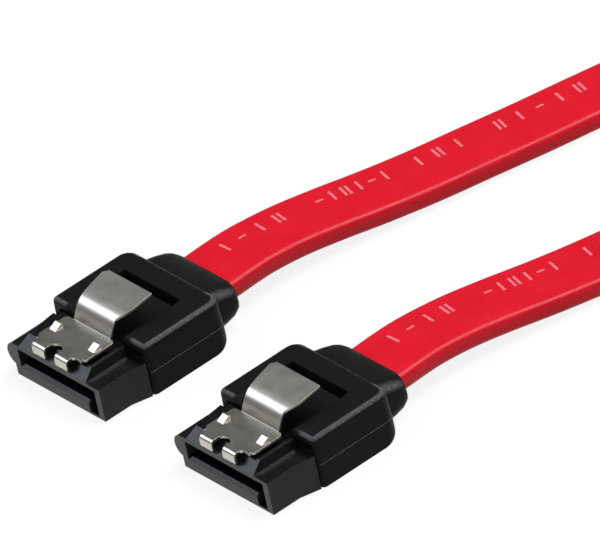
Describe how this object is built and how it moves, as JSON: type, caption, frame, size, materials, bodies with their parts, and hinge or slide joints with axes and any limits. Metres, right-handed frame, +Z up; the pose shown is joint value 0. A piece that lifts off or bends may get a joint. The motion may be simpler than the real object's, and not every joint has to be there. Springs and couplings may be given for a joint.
{
  "type": "data cable",
  "caption": "Flat red data cable with straight latching plugs at both ends, lying side by side, its spare length folded and tied.",
  "frame": {"origin": "on the surface the plugs lie on, in the middle of the two plugs", "axes": "+X across the plugs, +Y from the mating faces towards the cable, +Z up"},
  "size_m": [0.052, 0.2221, 0.0095],
  "materials": {
    "nose": "glossy black moulding",
    "overmould": "matte black, fine spark grain",
    "latch": "satin spring steel",
    "contact": "gold plated",
    "signal": "plain insulation",
    "drain": "tinned bare wire",
    "ribbon": "red jacket, slightly glossy",
    "tie": "black hook-and-loop strap"
  },
  "bodies": {
    "cable": {"nose_housing_a": "nose", "nose_housing_b": "nose", "overmould_a": "overmould", "overmould_b": "overmould", "contact_1_a": "contact", "contact_2_a": "contact", "contact_3_a": "contact", "contact_4_a": "contact", "contact_5_a": "contact", "contact_6_a": "contact", "contact_7_a": "contact", "contact_1_b": "contact", "contact_2_b": "contact", "contact_3_b": "contact", "contact_4_b": "contact", "contact_5_b": "contact", "contact_6_b": "contact", "contact_7_b": "contact", "drain_wire_1_a": "drain", "drain_wire_4_a": "drain", "drain_wire_7_a": "drain", "drain_wire_1_b": "drain", "drain_wire_4_b": "drain", "drain_wire_7_b": "drain", "signal_wire_2_a": "signal", "signal_wire_3_a": "signal", "signal_wire_5_a": "signal", "signal_wire_6_a": "signal", "signal_wire_2_b": "signal", "signal_wire_3_b": "signal", "signal_wire_5_b": "signal", "signal_wire_6_b": "signal", "ribbon_lead_a": "ribbon", "ribbon_lead_b": "ribbon", "ribbon_hank": "ribbon", "hank_tie": "tie"},
    "latch_a": {"latch_a": "latch"},
    "latch_b": {"latch_b": "latch"}
  },
  "joints": [
    {"name": "latch_a_press", "type": "hinge", "parent": "cable", "child": "latch_a", "pos_m": [-0.01178, -0.00877, 0.004], "axis": [-1, 0, 0], "range_deg": [0, 6], "stiffness_Nm_per_rad": 0.38},
    {"name": "latch_b_press", "type": "hinge", "parent": "cable", "child": "latch_b", "pos_m": [0.01202, -0.00877, 0.004], "axis": [-1, 0, 0], "range_deg": [0, 6], "stiffness_Nm_per_rad": 0.38}
  ]
}
